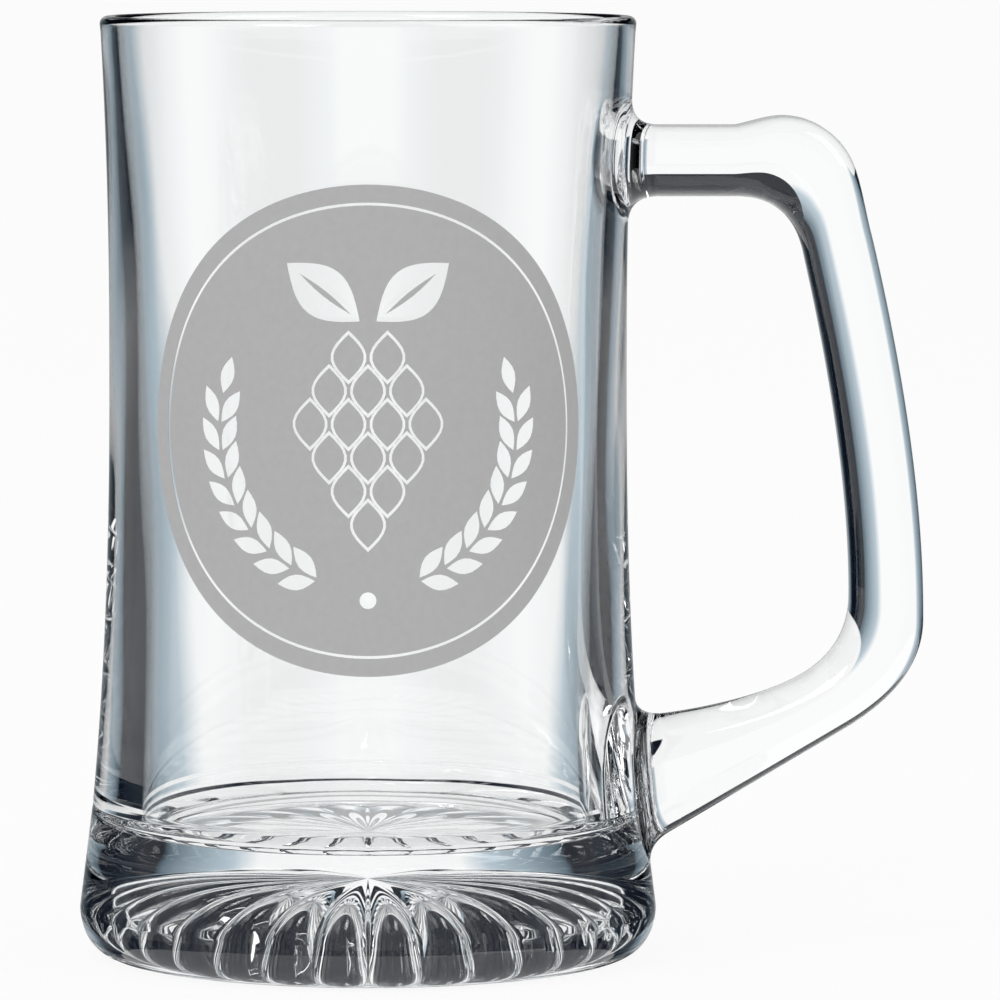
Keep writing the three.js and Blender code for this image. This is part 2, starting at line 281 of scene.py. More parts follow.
def outer_radius(z):
    base = bpy.context.scene.mug_base
    seam = base.seam_depth * math.exp(-(((z - base.shoulder_height) / base.seam_width) ** 2))
    if z >= base.shoulder_height:
        return bowl_radius(z) - seam
    shoulder = bowl_radius(base.shoulder_height)
    if z >= base.corner_height:
        fall = (base.shoulder_height - z) / (base.shoulder_height - base.corner_height)
        return shoulder + base.flare * fall - seam
    down = min(1.0, (base.corner_height - z) / base.corner_height)
    return shoulder + base.flare - base.corner_width * (1 - math.sqrt(1 - down**2))


def ellipse(centre_r, centre_z, radius_r, radius_z, start, end, steps):
    angles = [math.pi * share for share in spread(start, end, steps)]
    return [(centre_r + radius_r * math.cos(a), centre_z + radius_z * math.sin(a)) for a in angles]


def seat_outline():
    """The surface in which bowl and base are fused, from the axis out to the wall."""
    base = bpy.context.scene.mug_base
    shoulder = outer_radius(base.shoulder_height)
    heel = bowl_radius(base.shoulder_height) - base.seat_ledge
    rise = base.shoulder_height - base.seat_height
    middle = heel - base.seat_round
    flat = [(r, base.seat_height) for r in spread(0.0, middle, 10)[1:-1]]
    curve = ellipse(middle, base.shoulder_height, base.seat_round, rise, -0.5, 0.0, 14)
    ledge = [(r, base.shoulder_height) for r in spread(heel, shoulder, 3)[1:]]
    return flat + curve + ledge


def add_piece(name, points, faces, slots, materials):
    mesh = bpy.data.meshes.new(name)
    mesh.from_pydata(points, [], faces)
    mesh.polygons.foreach_set("material_index", slots)
    for material in materials:
        mesh.materials.append(material)
    edit = bmesh.new()
    edit.from_mesh(mesh)
    bmesh.ops.recalc_face_normals(edit, faces=edit.faces)
    edit.to_mesh(mesh)
    edit.free()
    piece = bpy.data.objects.new(name, mesh)
    bpy.context.scene.collection.objects.link(piece)
    smooth(piece)
    return piece


def smooth(piece, sharp_degrees=14):
    piece.data.shade_smooth()
    piece.data.set_sharp_from_angle(angle=math.radians(sharp_degrees))


def skin(rings, slots, start, start_slot, end, end_slot):
    """Points, faces and material slots of a closed skin over rings, with a fan at each end."""
    count = len(rings[0])
    points = [point for ring in rings for point in ring] + [start, end]
    faces = []
    face_slots = []
    for row, slot in enumerate(slots):
        for i in range(count):
            a = row * count + i
            b = row * count + (i + 1) % count
            faces.append((a, b, b + count, a + count))
            face_slots.append(slot)
    last = (len(rings) - 1) * count
    tip = len(rings) * count
    for i in range(count):
        j = (i + 1) % count
        faces.append((tip, j, i))
        face_slots.append(start_slot)
        faces.append((tip + 1, last + i, last + j))
        face_slots.append(end_slot)
    return points, faces, face_slots


def turned_piece(name, outline, slots, segments, materials, start, end, shift=None):
    """A piece turned about the mug's axis: outline holds (radius, height) points."""
    rings = []
    for row, (radius, height) in enumerate(outline):
        ring = []
        for i in range(segments):
            angle = 2 * math.pi * i / segments
            r, z = shift(row, radius, height, angle) if shift else (radius, height)
            ring.append(turn_point(r, z, angle))
        rings.append(ring)
    tips = [Vector((AXIS_X, 0.0, z)) for z in (start, end)]
    data = skin(rings, slots, tips[0], slots[0], tips[1], slots[-1])
    return add_piece(name, *data, materials)


def cut(piece, cutter):
    """Takes the cutter out of the piece, and keeps the cutter's slot on the new faces."""
    tool = piece.modifiers.new("Pocket", "BOOLEAN")
    tool.operation = "DIFFERENCE"
    tool.solver = "EXACT"
    tool.object = cutter
    graph = bpy.context.evaluated_depsgraph_get()
    cut_mesh = bpy.data.meshes.new_from_object(piece.evaluated_get(graph))
    piece.modifiers.clear()
    old = piece.data
    piece.data = cut_mesh
    cut_mesh.name = piece.name
    bpy.data.meshes.remove(old)
    smooth(piece)


def new_material(name):
    material = bpy.data.materials.new(name)
    material.use_nodes = True
    return material, material.node_tree.nodes, material.node_tree.links


def math_node(nodes, operation, second=None):
    node = nodes.new("ShaderNodeMath")
    node.operation = operation
    if second is not None:
        node.inputs[1].default_value = second
    return node


def range_node(nodes, start, end, low=0.0, high=1.0):
    node = nodes.new("ShaderNodeMapRange")
    node.inputs["From Min"].default_value = start
    node.inputs["From Max"].default_value = end
    node.inputs["To Min"].default_value = low
    node.inputs["To Max"].default_value = high
    return node


def clear_glass(name, tint, wave_size):
    """Clear pressed glass with a faint unevenness of its skin."""
    material, nodes, links = new_material(name)
    shader = nodes["Principled BSDF"]
    shader.inputs["Base Color"].default_value = tint
    shader.inputs["Roughness"].default_value = 0.0
    shader.inputs["IOR"].default_value = 1.5
    shader.inputs["Transmission Weight"].default_value = 1.0
    place = nodes.new("ShaderNodeTexCoord")
    wave = nodes.new("ShaderNodeTexNoise")
    wave.inputs["Scale"].default_value = 1.0 / wave_size
    wave.inputs["Detail"].default_value = 2.0
    bump = nodes.new("ShaderNodeBump")
    bump.inputs["Strength"].default_value = 0.1
    bump.inputs["Distance"].default_value = 0.00006
    links.new(place.outputs["Object"], wave.inputs["Vector"])
    links.new(wave.outputs["Fac"], bump.inputs["Height"])
    links.new(bump.outputs["Normal"], shader.inputs["Normal"])
    return material


def fused_glass():
    """The joint inside fused glass, which light passes without bending."""
    material = bpy.data.materials.get("Fused glass joint")
    if material:
        return material
    material, nodes, _ = new_material("Fused glass joint")
    nodes["Principled BSDF"].inputs["Alpha"].default_value = 0.0
    return material


def handle_glass():
    finishes = bpy.context.scene.mug_finishes
    return bpy.data.materials.get("Handle glass") or clear_glass("Handle glass", finishes.handle_tint, 0.009)


def on_root(piece, slot, *nodes):
    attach(piece, "root")
    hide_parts(*nodes)


class MUG_OT_bowl(bpy.types.Operator):
    """Builds the drinking bowl with its rim, tapering wall and rounded heel"""

    bl_idname = "mug.bowl"
    bl_label = "Bowl"

    def execute(self, context):
        bowl = context.scene.mug_bowl
        base = context.scene.mug_base
        round_rim = bowl.rim_wall / 2
        rim_low = bowl.height - round_rim
        rim_middle = bowl_radius(bowl.height) - round_rim
        fillet_top = bowl.floor_height + bowl.floor_fillet
        fillet_middle = inner_radius(fillet_top) - bowl.floor_fillet
        seat = seat_outline()
        seam_heights = [base.shoulder_height + step for step in SEAM_STEPS]
        wall_heights = seam_heights + spread(base.shoulder_height + SEAM_END, rim_low - round_rim, 90)
        outside = [(outer_radius(z), z) for z in wall_heights]
        rim = ellipse(rim_middle, rim_low, round_rim, round_rim, 0.0, 1.0, 32)
        inside = [(inner_radius(z), z) for z in spread(rim_low - round_rim, fillet_top, 90)]
        fillet = ellipse(fillet_middle, fillet_top, bowl.floor_fillet, bowl.floor_fillet, 0.0, -0.5, 24)[1:]
        floor = [(r, bowl.floor_height) for r in spread(fillet_middle, 0.0, 12)[1:-1]]
        outline = seat + outside + rim + inside + fillet + floor
        slots = [FUSED] * (len(seat) - 1) + [GLASS] * (len(outline) - len(seat))
        inside_from = len(seat) + len(outside) + len(rim)
        inside_to = inside_from + len(inside)

        def uneven(row, radius, height, angle):
            if not inside_from <= row < inside_to:
                return radius, height
            share = (row - inside_from) / len(inside)
            fade = math.sin(math.pi * share)
            wide = math.sin(7 * angle + 60 * height)
            narrow = math.sin(13 * angle - 95 * height + 1.7)
            return radius + bowl.ripple * fade * (wide + narrow) / 2, height

        glass = clear_glass("Bowl glass", context.scene.mug_finishes.wall_tint, 0.012)
        piece = turned_piece(
            "clear_bowl",
            outline,
            slots,
            BOWL_FACES,
            [glass, fused_glass()],
            base.seat_height,
            bowl.floor_height,
            uneven,
        )
        on_root(piece, "bowl_glass", "bowl")
        return {"FINISHED"}


def sunburst_point(share, angle):
    """Radius and height of the sunburst, a flat dome of vaulted petals with sharp lines between them."""
    base = bpy.context.scene.mug_base
    turn = angle * base.petals / (2 * math.pi) + 0.5
    off_middle = (2 * (turn - round(turn))) ** 2
    radius = share * (base.sunburst_radius - base.scallop_depth * off_middle)
    vault = 1 - share**base.sunburst_power
    return radius, (base.sunburst_depth - base.groove_depth * share * off_middle) * vault


class MUG_OT_base(bpy.types.Operator):
    """Builds the heavy base with the pressed sunburst underneath"""

    bl_idname = "mug.base"
    bl_label = "Sunburst base"

    def execute(self, context):
        base = context.scene.mug_base
        shoulder = bowl_radius(base.shoulder_height)
        foot = shoulder + base.flare - base.corner_width
        shares = spread(0.0, 1.0, 72)[1:]
        burst = [(share * base.sunburst_radius, 0.0) for share in shares]
        ring = [(r, 0.0) for r in spread(base.sunburst_radius, foot, 6)[1:-1]]
        corner = ellipse(foot, base.corner_height, base.corner_width, base.corner_height, -0.5, 0.0, 28)
        side_heights = spread(base.corner_height, base.shoulder_height - SEAM_END, 14)[1:]
        seam_heights = [base.shoulder_height - step for step in reversed(SEAM_STEPS)]
        side = [(outer_radius(z), z) for z in side_heights + seam_heights]
        seat = list(reversed(seat_outline()))
        outline = burst + ring + corner + side + seat
        slots = [GLASS] * (len(outline) - len(seat)) + [FUSED] * (len(seat) - 1)

        def pressed(row, radius, height, angle):
            return sunburst_point(shares[row], angle) if row < len(burst) else (radius, height)

        glass = clear_glass("Base glass", context.scene.mug_finishes.base_tint, 0.014)
        piece = turned_piece(
            "clear_base",
            outline,
            slots,
            base.petals * FACES_PER_PETAL,
            [glass, fused_glass()],
            base.sunburst_depth,
            base.seat_height,
            pressed,
        )
        on_root(piece, "base_glass", "sunburst_base")
        return {"FINISHED"}


def handle_point(x, z):
    return Vector((AXIS_X + x, 0.0, z))


def straight(start, end):
    return lambda share: start.lerp(end, share)


def bend(start, corner, end):
    return lambda share: start.lerp(corner, share).lerp(corner.lerp(end, share), share)


def through(points):
    """A smooth curve through the points, with even speed by the root of their distances."""
    before = points[0] * 2 - points[1]
    after = points[-1] * 2 - points[-2]
    path = [before, *points, after]

    def curve(share):
        place = share * (len(points) - 1)
        i = min(int(place), len(points) - 2)
        t = place - i
        p0, p1, p2, p3 = path[i : i + 4]
        d0, d1, d2 = [math.sqrt((b - a).length) for a, b in ((p0, p1), (p1, p2), (p2, p3))]
        leave = ((p1 - p0) / d0 - (p2 - p0) / (d0 + d1) + (p2 - p1) / d1) * d1
        arrive = ((p2 - p1) / d1 - (p3 - p1) / (d1 + d2) + (p3 - p2) / d2) * d1
        cubic = (p1 - p2) * 2 + leave + arrive
        square = (p2 - p1) * 3 - leave * 2 - arrive
        return cubic * t**3 + square * t**2 + leave * t + p1

    return curve


def handle_edges():
    """The five stretches of the loop's inside and outside edges, from the upper pad to the lower."""
    bowl = bpy.context.scene.mug_bowl
    grip = bpy.context.scene.mug_handle
    arm_top = bowl.height - grip.arm_drop
    arm_under = arm_top - grip.arm_thickness
    upper_face = outer_radius(arm_top) + grip.upper_pad
    lower_face = outer_radius(grip.root_bottom) + grip.lower_pad
    outside_reach = bowl.waist_radius + grip.overhang
    inside_reach = outside_reach - grip.grip_width
    bow = grip.grip_bottom + grip.grip_straightening
    arm_end = inside_reach - grip.elbow_run
    in_top = handle_point(inside_reach - grip.grip_lean, arm_under - grip.elbow_drop)
    in_bottom = handle_point(inside_reach, grip.grip_bottom)
    in_elbow = handle_point(inside_reach - grip.inside_elbow_run, grip.grip_bottom - grip.inside_elbow_drop)
    rise = in_elbow.z - grip.root_top
    in_end = handle_point(lower_face, grip.root_top + rise * grip.arm_level)
    in_bow = (in_elbow.x + in_end.x) / 2 + grip.arm_bow
    in_arm = Vector((in_bow, 0.0, grip.root_top + rise * grip.arm_sag))
    in_corner = Vector((in_top.x - grip.grip_lean / 4, 0.0, arm_under))
    inside = [
        straight(handle_point(upper_face, arm_under), handle_point(arm_end, arm_under)),
        bend(handle_point(arm_end, arm_under), in_corner, in_top),
        bend(in_top, handle_point(inside_reach, bow), in_bottom),
        bend(in_bottom, handle_point(inside_reach, in_elbow.z + rise * grip.inside_elbow_pull), in_elbow),
        bend(in_elbow, in_arm, in_end),
    ]
    top_width = grip.grip_width - grip.grip_top_narrowing
    out_top = in_top + Vector((top_width, 0.0, grip.grip_top_tilt))
    out_bottom = handle_point(outside_reach, grip.grip_bottom - grip.outside_straight)
    out_elbow = handle_point(outside_reach - grip.outside_elbow_run, out_bottom.z - grip.outside_elbow_drop)
    slope = (out_elbow.z - grip.root_bottom) / (out_elbow.x - AXIS_X - outer_radius(grip.root_bottom))
    out_end = handle_point(lower_face, grip.root_bottom + grip.lower_pad * slope)
    out_corner = handle_point(outside_reach, out_elbow.z + grip.outside_elbow_run * slope)
    hump = [
        handle_point(arm_end, arm_top),
        handle_point(arm_end + grip.elbow_run * grip.hump_place, arm_top + grip.elbow_hump),
        handle_point(arm_end + grip.elbow_run * grip.hump_end, arm_top),
        Vector((out_top.x - grip.grip_lean / 2, 0.0, arm_top - grip.elbow_drop / 2)),
        out_top,
    ]
    outside = [
        straight(handle_point(upper_face, arm_top), handle_point(arm_end, arm_top)),
        through(hump),
        bend(out_top, handle_point(outside_reach, bow), out_bottom),
        bend(out_bottom, out_corner, out_elbow),
        straight(out_elbow, out_end),
    ]
    return inside, outside


def section_outline(count=SECTION_FACES):
    """Unit outline of the handle's section: across the loop and sideways, rounder for the fingers."""
    grip = bpy.context.scene.mug_handle
    outline = []
    for i in range(count):
        angle = 2 * math.pi * i / count
        power = grip.outside_power if math.cos(angle) > 0 else grip.inside_power
        outline.append((signed_power(math.cos(angle), 2 / power), signed_power(math.sin(angle), 2 / power)))
    return outline


def ring_between(inside, outside, depth):
    middle = (inside + outside) / 2
    half = (outside - inside) / 2
    sideways = Vector((0.0, depth / 2, 0.0))
    return [middle + half * across + sideways * side for across, side in section_outline()]


def middle_of(ring):
    return sum(ring, Vector()) / len(ring)


class MUG_OT_handle(bpy.types.Operator):
    """Builds the loop handle between its two pads"""

    bl_idname = "mug.handle"
    bl_label = "Loop handle"

    def execute(self, context):
        depth = context.scene.mug_handle.grip_depth
        rings = []
        for steps, inside, outside in zip(HANDLE_STEPS, *handle_edges()):
            shares = spread(0.0, 1.0, steps)
            rings += [ring_between(inside(s), outside(s), depth) for s in shares[1 if rings else 0 :]]
        slots = [GLASS] * (len(rings) - 1)
        data = skin(rings, slots, middle_of(rings[0]), FUSED, middle_of(rings[-1]), FUSED)
        piece = add_piece("loop_handle", *data, [handle_glass(), fused_glass()])
        on_root(piece, "handle_glass", "handle")
        return {"FINISHED"}


def on_wall(y, z, off):
    return Vector((AXIS_X + math.sqrt((outer_radius(z) + off) ** 2 - y**2), y, z))


def pad_rings(face, root_inside, root_outside, flare):
    """Rings of one pad: its fused back, its edge on the wall and its fillet out to the arm's face."""
    grip = bpy.context.scene.mug_handle
    middle = (root_inside + root_outside) / 2
    half = (root_outside - root_inside) / 2
    depth = grip.grip_depth / 2
    foot = []
    root = []
    for across, side in section_outline():
        power = grip.outside_power if across > 0 else grip.inside_power
        z = middle + half * across
        y = depth * side
        slope_z = signed_power(across, power - 1) / half
        slope_y = signed_power(side, power - 1) / depth
        out = flare / math.hypot(slope_y, slope_z)
        root.append(on_wall(y, z, 0.0))
        foot.append((y + slope_y * out, z + slope_z * out))
    back = []
    for share in spread(0.1, 1.0, 12):
        back.append([on_wall(y * share, middle + (z - middle) * share, -grip.tenon) for y, z in foot])
    edge = [on_wall(y, z, 0.0) for y, z in foot]
    lip = [on_wall(y, z, grip.pocket_lip) for y, z in foot]
    fillet = [[bend(a, b, c)(s) for a, b, c in zip(edge, root, face)] for s in spread(0.0, 1.0, 24)]
    return back, fillet, lip, on_wall(0.0, middle, -grip.tenon)


class MUG_OT_pads(bpy.types.Operator):
    """Builds the flared pads that fuse the handle to the wall, and sinks each one into it"""

    bl_idname = "mug.pads"
    bl_label = "Handle pads"

    def execute(self, context):
        bowl = context.scene.mug_bowl
        grip = context.scene.mug_handle
        inside, outside = handle_edges()
        arm_top = bowl.height - grip.arm_drop
        upper_face = ring_between(inside[0](0.0), outside[0](0.0), grip.grip_depth)
        lower_face = ring_between(inside[-1](1.0), outside[-1](1.0), grip.grip_depth)
        pads = (
            ("upper", upper_face, arm_top - grip.arm_thickness, arm_top, grip.upper_pad),
            ("lower", lower_face, grip.root_top, grip.root_bottom, grip.lower_pad),
        )
        materials = [handle_glass(), fused_glass()]
        for name, face, root_inside, root_outside, flare in pads:
            back, fillet, lip, tip = pad_rings(face, root_inside, root_outside, flare)
            slots = [FUSED] * len(back) + [GLASS] * (len(fillet) - 1)
            data = skin(back + fillet, slots, tip, FUSED, middle_of(face), FUSED)
            piece = add_piece(f"{name}_pad", *data, materials)
            on_root(piece, "handle_glass", f"{name}_handle_pad")
            data = skin([*back, lip], [FUSED] * len(back), tip, FUSED, middle_of(lip), FUSED)
            cutter = add_piece("pocket", *data, materials)
            cut(context.scene.objects["clear_bowl"], cutter)
            if min(corner.z for corner in lip) < context.scene.mug_base.shoulder_height:
                cut(context.scene.objects["clear_base"], cutter)
            bpy.data.objects.remove(cutter)
        return {"FINISHED"}


def circle(radius, middle=(0.0, 0.0), count=36):
    turns = spread(0.0, 2 * math.pi, count)[:-1]
    return [(middle[0] + radius * math.cos(a), middle[1] + radius * math.sin(a)) for a in turns]


def leaf(start, turn, size, width, steps=9):
    """A pointed leaf that grows from the start point in the direction of the turn."""
    along = Vector((math.cos(turn), math.sin(turn)))
    across = Vector((-along.y, along.x))
    right = [(s, -math.sin(math.pi * s)) for s in spread(0.0, 1.0, steps)]
    left = [(s, math.sin(math.pi * s)) for s in spread(1.0, 0.0, steps)[1:-1]]
    return [tuple(Vector(start) + along * (size * s) + across * (width / 2 * w)) for s, w in right + left]


def outlined_leaf(start, turn, size, width, line):
    """Two leaves, one inside the other, that leave a line between them."""
    inset = line * size / width
    inner = Vector(start) + Vector((math.cos(turn), math.sin(turn))) * inset
    return [leaf(start, turn, size, width), leaf(inner, turn, size - 2 * inset, width - 2 * line)]


def barley_ear(sizes, side):
    """Pairs of grains along a curve, with one grain at its tip."""
    grains = []
    step = sizes.grain_step * sizes.grain_length / sizes.ear_radius
    for i in range(sizes.pairs + 1):
        turn = sizes.ear_start + step * i
        start = (side * sizes.ear_radius * math.cos(turn), sizes.ear_radius * math.sin(turn))
        leans = (-sizes.grain_lean, sizes.grain_lean) if i < sizes.pairs else (0.0,)
        for lean in leans:
            heading = turn + math.pi / 2 + step / 2 + lean
            heading = heading if side > 0 else math.pi - heading
            out = Vector((math.cos(heading), math.sin(heading))) * sizes.grain_width / 4
            grains.append(leaf(Vector(start) + out, heading, sizes.grain_length, sizes.grain_width, 6))
    return grains


def hop_cone(sizes):
    """Rows of outlined scales that point down, in the shape of a cone."""
    scales = []
    drop = sizes.scale_drop * sizes.scale_length
    for row, count in enumerate(HOP_ROWS):
        top = (len(HOP_ROWS) / 2 - row) * drop
        for i in range(count):
            start = ((i - (count - 1) / 2) * sizes.scale_width * sizes.scale_spacing, top)
            scales += outlined_leaf(start, -math.pi / 2, sizes.scale_length, sizes.scale_width, sizes.line)
    return scales


def hop_leaves(sizes):
    """Two clear leaves with a frosted vein, above the cone."""
    leaves = []
    for turn in (sizes.leaf_turn, math.pi - sizes.leaf_turn):
        start = Vector((math.copysign(sizes.leaf_gap, math.cos(turn)), sizes.leaf_height))
        along = Vector((math.cos(turn), math.sin(turn)))
        leaves.append(leaf(start, turn, sizes.leaf_length, sizes.leaf_width, 14))
        vein = start + along * sizes.leaf_length * VEIN_START
        leaves.append(leaf(vein, turn, sizes.leaf_length * VEIN_LENGTH, sizes.line * 2, 6))
    return leaves


def inside_outline(point, outline):
    x, y = point
    inside = False
    for (ax, ay), (bx, by) in zip(outline, outline[1:] + outline[:1]):
        if (ay > y) != (by > y) and x < ax + (bx - ax) * (y - ay) / (by - ay):
            inside = not inside
    return inside


def medallion_triangles(sizes):
    """The frosted area: every second region, counted inwards from the disc's edge."""
    ring = sizes.radius - sizes.ring_gap
    outlines = [circle(radius, count=144) for radius in (sizes.radius, ring, ring - sizes.line)]
    outlines += barley_ear(sizes, 1) + barley_ear(sizes, -1) + hop_cone(sizes) + hop_leaves(sizes)
    outlines.append(circle(sizes.dot_radius, (0.0, -sizes.dot_drop)))
    points = []
    edges = []
    for outline in outlines:
        first = len(points)
        points += [Vector(point) for point in outline]
        edges += [(first + i, first + (i + 1) % len(outline)) for i in range(len(outline))]
    count = int(sizes.radius / sizes.grid)
    for i in range(-count, count + 1):
        for j in range(-count, count + 1):
            spot = Vector((i + 0.5 * (j % 2), j)) * sizes.grid
            if spot.length < ring - sizes.grid:
                points.append(spot)
    flat, _, triangles, _, _, _ = delaunay_2d_cdt(points, edges, [], 0, 1e-7)
    boxes = []
    for outline in outlines:
        xs = [x for x, _ in outline]
        ys = [y for _, y in outline]
        boxes.append((min(xs), max(xs), min(ys), max(ys)))
    frosted = []
    for triangle in triangles:
        x, y = sum((flat[i] for i in triangle), Vector((0.0, 0.0))) / 3
        near = [o for o, (x0, x1, y0, y1) in zip(outlines, boxes) if x0 < x < x1 and y0 < y < y1]
        if sum(inside_outline((x, y), outline) for outline in near) % 2:
            frosted.append(triangle)
    return flat, frosted


def frosted_film(finishes):
    """A matt grey frosting with a fine grain."""
    material, nodes, links = new_material("Frosted film")
    shader = nodes["Principled BSDF"]
    shader.inputs["Roughness"].default_value = 0.8
    shader.inputs["Specular IOR Level"].default_value = 0.2
    place = nodes.new("ShaderNodeTexCoord")
    grain = nodes.new("ShaderNodeTexNoise")
    grain.inputs["Scale"].default_value = 900.0
    grain.inputs["Detail"].default_value = 4.0
    tones = nodes.new("ShaderNodeValToRGB")
    tones.color_ramp.elements[0].color = finishes.frost_dark
    tones.color_ramp.elements[1].color = finishes.frost_light
    bump = nodes.new("ShaderNodeBump")
    bump.inputs["Strength"].default_value = 0.15
    bump.inputs["Distance"].default_value = 0.00005
    links.new(place.outputs["Object"], grain.inputs["Vector"])
    links.new(grain.outputs["Fac"], tones.inputs["Fac"])
    links.new(tones.outputs["Color"], shader.inputs["Base Color"])
    links.new(grain.outputs["Fac"], bump.inputs["Height"])
    links.new(bump.outputs["Normal"], shader.inputs["Normal"])
    return material


class MUG_OT_medallion(bpy.types.Operator):
    """Builds the frosted hop and barley medallion on the front of the bowl"""

    bl_idname = "mug.medallion"
    bl_label = "Frosted medallion"

    def execute(self, context):
        sizes = context.scene.mug_medallion
        flat, frosted = medallion_triangles(sizes)
        wrap = bowl_radius(sizes.middle_height)
        points = []
        for off in (sizes.clearance, sizes.clearance + sizes.film):
            for x, y in flat:
                z = sizes.middle_height + y
                points.append(turn_point(bowl_radius(z) + off, z, x / wrap - math.pi / 2))
        count = len(flat)
        borders = {}
        for triangle in frosted:
            for a, b in zip(triangle, triangle[1:] + triangle[:1]):
                borders[(a, b)] = (b, a) not in borders
                if not borders[(a, b)]:
                    borders[(b, a)] = False
        front = [tuple(i + count for i in triangle) for triangle in frosted]
        back = [tuple(reversed(triangle)) for triangle in frosted]
        sides = [(a, b, b + count, a + count) for (a, b), border in borders.items() if border]
        faces = front + back + sides
        film = frosted_film(context.scene.mug_finishes)
        piece = add_piece("frosted_medallion", points, faces, [0] * len(faces), [film])
        edit = bmesh.new()
        edit.from_mesh(piece.data)
        bmesh.ops.delete(edit, geom=[v for v in edit.verts if not v.link_faces], context="VERTS")
        edit.to_mesh(piece.data)
        edit.free()
        smooth(piece)
        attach(piece, "root")
        return {"FINISHED"}


def ray_is(nodes, links, kinds):
    """A value that is 1 for rays of the given kinds."""
    path = nodes.new("ShaderNodeLightPath")
    last = path.outputs[kinds[0]]
    for kind in kinds[1:]:
        either = math_node(nodes, "MAXIMUM")
        links.new(last, either.inputs[0])
        links.new(path.outputs[kind], either.inputs[1])
        last = either.outputs["Value"]
    return last


def polish_share(nodes, links):
    """A value that is 1 where glass sees the floor at a low angle, or less low close to the mug."""
    place = nodes.new("ShaderNodeTexCoord")
    away = nodes.new("ShaderNodeVectorMath")
    away.operation = "DISTANCE"
    away.inputs[1].default_value = (AXIS_X, 0.0, 0.0)
    near = range_node(nodes, NEAR_EDGE, NEAR_FULL, 0.0, NEAR_POLISH)
    facing = nodes.new("ShaderNodeLayerWeight")
    both = math_node(nodes, "ADD")
    grazing = range_node(nodes, POLISH_START, POLISH_FULL)
    glass_only = math_node(nodes, "MULTIPLY")
    links.new(place.outputs["Object"], away.inputs[0])
    links.new(away.outputs["Value"], near.inputs["Value"])
    links.new(facing.outputs["Facing"], both.inputs[0])
    links.new(near.outputs["Result"], both.inputs[1])
    links.new(both.outputs["Value"], grazing.inputs["Value"])
    links.new(grazing.outputs["Result"], glass_only.inputs[0])
    links.new(ray_is(nodes, links, ("Is Glossy Ray", "Is Transmission Ray")), glass_only.inputs[1])
    return glass_only.outputs["Value"]


def floor_material(tint):
    """A pale floor that looks white, keeps soft shadows, and is polished where glass shows it."""
    material, nodes, links = new_material("Studio floor")
    nodes.remove(nodes["Principled BSDF"])
    matte = nodes.new("ShaderNodeBsdfDiffuse")
    matte.inputs["Color"].default_value = tint
    glow = nodes.new("ShaderNodeEmission")
    lift = math_node(nodes, "MULTIPLY", FLOOR_WHITENESS)
    pale = nodes.new("ShaderNodeMixShader")
    links.new(ray_is(nodes, links, ("Is Camera Ray", "Is Glossy Ray", "Is Transmission Ray")), lift.inputs[0])
    links.new(lift.outputs["Value"], pale.inputs["Fac"])
    links.new(matte.outputs["BSDF"], pale.inputs[1])
    links.new(glow.outputs["Emission"], pale.inputs[2])
    polish = nodes.new("ShaderNodeBsdfGlossy")
    polish.inputs["Roughness"].default_value = 0.0
    polish.inputs["Color"].default_value = (1.0, 1.0, 1.0, 1.0)
    finish = nodes.new("ShaderNodeMixShader")
    links.new(polish_share(nodes, links), finish.inputs["Fac"])
    links.new(pale.outputs["Shader"], finish.inputs[1])
    links.new(polish.outputs["BSDF"], finish.inputs[2])
    links.new(finish.outputs["Shader"], nodes["Material Output"].inputs["Surface"])
    return material


def card_material(finishes):
    """Light cards in front, behind and at the sides, with grey wings and dark flags between them."""
    material, nodes, links = new_material("Studio cards")
    nodes.remove(nodes["Principled BSDF"])
    place = nodes.new("ShaderNodeTexCoord")
    parts = nodes.new("ShaderNodeSeparateXYZ")
    turn = math_node(nodes, "ARCTAN2")
    fold = math_node(nodes, "PINGPONG", CARD_SPREAD)
    share = math_node(nodes, "DIVIDE", CARD_SPREAD)
    bands = nodes.new("ShaderNodeValToRGB")
    stops = bands.color_ramp.elements
    stops[0].position = math.radians(LIGHT_END) / CARD_SPREAD
    stops[0].color = finishes.card_light
    stops[1].position = math.radians(DARK_START) / CARD_SPREAD
    stops[1].color = finishes.card_dark
    for degrees, tone in ((WING_END, finishes.card_wing), (GREY_END, finishes.card_grey)):
        stop = stops.new(math.radians(degrees) / CARD_SPREAD)
        stop.color = tone
    glow = nodes.new("ShaderNodeEmission")
    path = nodes.new("ShaderNodeLightPath")
    strength = range_node(nodes, 0.0, 1.0, REFLECTED_CARDS, 1.0)
    links.new(path.outputs["Transmission Depth"], strength.inputs["Value"])
    links.new(strength.outputs["Result"], glow.inputs["Strength"])
    links.new(place.outputs["Object"], parts.inputs["Vector"])
    links.new(parts.outputs["X"], turn.inputs[0])
    links.new(parts.outputs["Y"], turn.inputs[1])
    links.new(turn.outputs["Value"], fold.inputs[0])
    links.new(fold.outputs["Value"], share.inputs[0])
    links.new(share.outputs["Value"], bands.inputs["Fac"])
    links.new(bands.outputs["Color"], glow.inputs["Color"])
    links.new(glow.outputs["Emission"], nodes["Material Output"].inputs["Surface"])
    return material


def add_cards(finishes):
    """A ring of cards standing round the mug, which only the glass sees."""
    turns = spread(0.0, 2 * math.pi, CARD_FACES)[:-1]
    points = []
    for z in (CARD_LOW, CARD_HIGH):
        points += [Vector((CARD_RADIUS * math.cos(a), CARD_RADIUS * math.sin(a), z)) for a in turns]
    faces = []
    for i in range(CARD_FACES):
        j = (i + 1) % CARD_FACES
        faces.append((i, j, j + CARD_FACES, i + CARD_FACES))
    cards = add_piece("studio_cards", points, faces, [0] * len(faces), [card_material(finishes)])
    cards.visible_camera = False
    cards.visible_diffuse = False
    cards.visible_shadow = False
    cards.visible_volume_scatter = False


